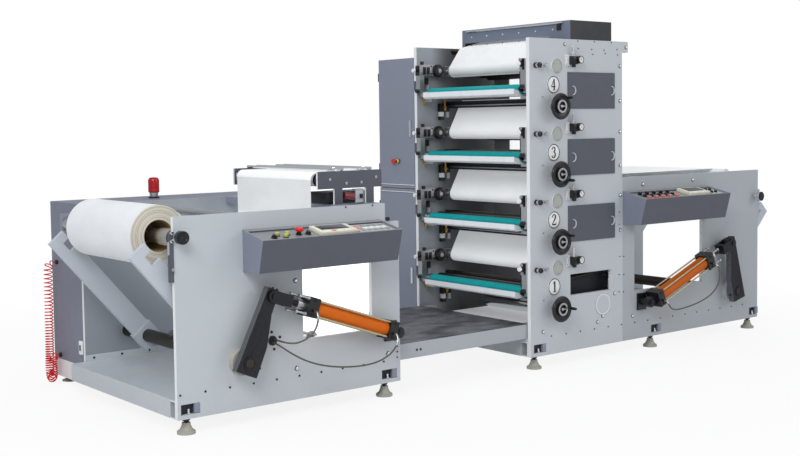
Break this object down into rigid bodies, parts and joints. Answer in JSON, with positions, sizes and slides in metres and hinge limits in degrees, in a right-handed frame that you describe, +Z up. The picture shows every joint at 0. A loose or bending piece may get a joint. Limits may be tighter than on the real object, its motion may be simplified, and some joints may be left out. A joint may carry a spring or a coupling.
{
  "type": "stack flexographic box printing machine",
  "caption": "Stack flexo press for box board: reel unwinder with lift arms, walkway, printing tower with ink stations, hot-air box, and rewinder with consoles.",
  "frame": {"origin": "on the floor, at the middle of the whole machine's footprint", "axes": "+X along the line from unwinder to rewinder, +Y from the operator's side to the back, +Z up"},
  "size_m": [5.5826, 2.103, 2.33],
  "materials": {
    "panel_paint": "semi-gloss light grey paint",
    "slate_paint": "fine textured slate paint",
    "cabinet_paint": "fine textured blue-grey paint",
    "bright_steel": "ground steel",
    "chrome": "polished",
    "dark_steel": "blackened steel, lightly oiled",
    "paper": "uncoated white board",
    "sheet_floor": "scuffed dark sheet",
    "tray_white": "white enamel with ink marks",
    "teal_rubber": "smooth rubber covering",
    "orange_paint": "orange anodised tube",
    "black_plastic": "moulded",
    "cream_plastic": "moulded",
    "red_plastic": "translucent moulded lens",
    "hose_red": "polyurethane tube",
    "hose_dark": "smooth tube",
    "foot_grey": "cream-grey paint"
  },
  "bodies": {
    "root": {"unwinder_front_panel": "panel_paint", "unwinder_back_panel": "panel_paint", "base_channels": "panel_paint", "cross_beams": "panel_paint", "unwinder_cabinet": "cabinet_paint", "cabinet_plinth": "panel_paint", "consoles": "slate_paint", "console_controls": "cream_plastic", "reel_chucks": "dark_steel", "guide_rollers": "chrome", "web_guide_frame": "slate_paint", "web_guide_rods": "bright_steel", "web_infeed": "paper", "web_print": "paper", "web_outfeed": "paper", "walkway_sheet": "sheet_floor", "walkway_channels": "panel_paint", "tower_front_plate": "panel_paint", "tower_back_plate": "panel_paint", "tie_bars": "bright_steel", "ink_trays": "tray_white", "station_brackets": "bright_steel", "fountain_rollers": "teal_rubber", "anilox_rollers": "dark_steel", "plate_shafts": "bright_steel", "impression_rollers": "chrome", "turn_rollers": "chrome", "window_covers": "slate_paint", "air_regulators": "black_plastic", "station_discs": "panel_paint", "handwheel_bearings": "chrome", "hot_air_box": "slate_paint", "drive_cabinet": "cabinet_paint", "rewinder_front_panel": "panel_paint", "rewinder_back_panel": "panel_paint", "linkage_mounts": "foot_grey", "hose_glands": "black_plastic", "levelling_feet": "foot_grey", "beacon": "red_plastic", "rewind_shaft": "bright_steel", "coil_hose": "hose_red", "unwind_hose_front": "hose_dark", "unwind_hose_rear": "hose_dark"},
    "unwind_reel": {"paper_roll": "paper", "reel_shaft": "bright_steel"},
    "unwind_swing": {"unwind_arms": "panel_paint", "unwind_lever": "dark_steel"},
    "unwind_barrel": {"unwind_barrel": "orange_paint"},
    "unwind_rod": {"unwind_rod": "chrome"},
    "rewind_swing": {"rewind_arms": "panel_paint", "rewind_lever": "dark_steel"},
    "rewind_barrel": {"rewind_barrel": "orange_paint", "rewind_hose": "hose_dark"},
    "rewind_rod": {"rewind_rod": "chrome"},
    "handwheel_1": {"handwheel_1": "black_plastic"},
    "handwheel_2": {"handwheel_2": "black_plastic"},
    "handwheel_3": {"handwheel_3": "black_plastic"},
    "handwheel_4": {"handwheel_4": "black_plastic"},
    "door_upper": {"door_upper": "cabinet_paint"},
    "door_lower": {"door_lower": "cabinet_paint"}
  },
  "joints": [
    {"name": "unwind_reel_spin", "type": "hinge", "parent": "root", "child": "unwind_reel", "pos_m": [-2.55603, -0.2045, 1.064], "axis": [0, 1, 0], "continuous": true},
    {"name": "unwind_lift", "type": "hinge", "parent": "root", "child": "unwind_swing", "pos_m": [-2.17903, -0.2045, 0.359], "axis": [0, -1, 0], "range_deg": [0, 45]},
    {"name": "unwind_barrel_swing", "type": "hinge", "parent": "root", "child": "unwind_barrel", "pos_m": [-1.13503, -0.8845, 0.405], "axis": [0, -1, 0], "range_deg": [-0.5, 5]},
    {"name": "unwind_rod_slide", "type": "slide", "parent": "unwind_barrel", "child": "unwind_rod", "axis": [-0.945, 0, 0.327], "range_m": [-0.001, 0.3]},
    {"name": "rewind_lift", "type": "hinge", "parent": "root", "child": "rewind_swing", "pos_m": [2.13797, -0.2045, 0.34], "axis": [0, 1, 0], "range_deg": [-7, 36]},
    {"name": "rewind_barrel_swing", "type": "hinge", "parent": "root", "child": "rewind_barrel", "pos_m": [1.12497, -0.9195, 0.356], "axis": [0, 1, 0], "range_deg": [-1.5, 5]},
    {"name": "rewind_rod_slide", "type": "slide", "parent": "rewind_barrel", "child": "rewind_rod", "axis": [0.9319, 0, 0.3628], "range_m": [-0.05, 0.23]},
    {"name": "handwheel_1_turn", "type": "hinge", "parent": "root", "child": "handwheel_1", "pos_m": [0.24197, -0.9095, 0.4], "axis": [0, 1, 0], "continuous": true},
    {"name": "handwheel_2_turn", "type": "hinge", "parent": "root", "child": "handwheel_2", "pos_m": [0.24197, -0.9095, 0.85], "axis": [0, 1, 0], "continuous": true},
    {"name": "handwheel_3_turn", "type": "hinge", "parent": "root", "child": "handwheel_3", "pos_m": [0.24197, -0.9095, 1.3], "axis": [0, 1, 0], "continuous": true},
    {"name": "handwheel_4_turn", "type": "hinge", "parent": "root", "child": "handwheel_4", "pos_m": [0.24197, -0.9095, 1.75], "axis": [0, 1, 0], "continuous": true},
    {"name": "door_upper_hinge", "type": "hinge", "parent": "root", "child": "door_upper", "pos_m": [0.02697, 0.7755, 1.65], "axis": [0, 0, -1], "range_deg": [0, 110]},
    {"name": "door_lower_hinge", "type": "hinge", "parent": "root", "child": "door_lower", "pos_m": [0.02697, 0.7755, 0.62], "axis": [0, 0, -1], "range_deg": [0, 110]}
  ],
  "couplings": [
    {"joint": "unwind_barrel_swing", "follows": "unwind_lift", "ratio": 0.08},
    {"joint": "unwind_rod_slide", "follows": "unwind_lift", "m_per_rad": 0.3728},
    {"joint": "rewind_barrel_swing", "follows": "rewind_lift", "ratio": 0.125},
    {"joint": "rewind_rod_slide", "follows": "rewind_lift", "m_per_rad": 0.35947}
  ]
}
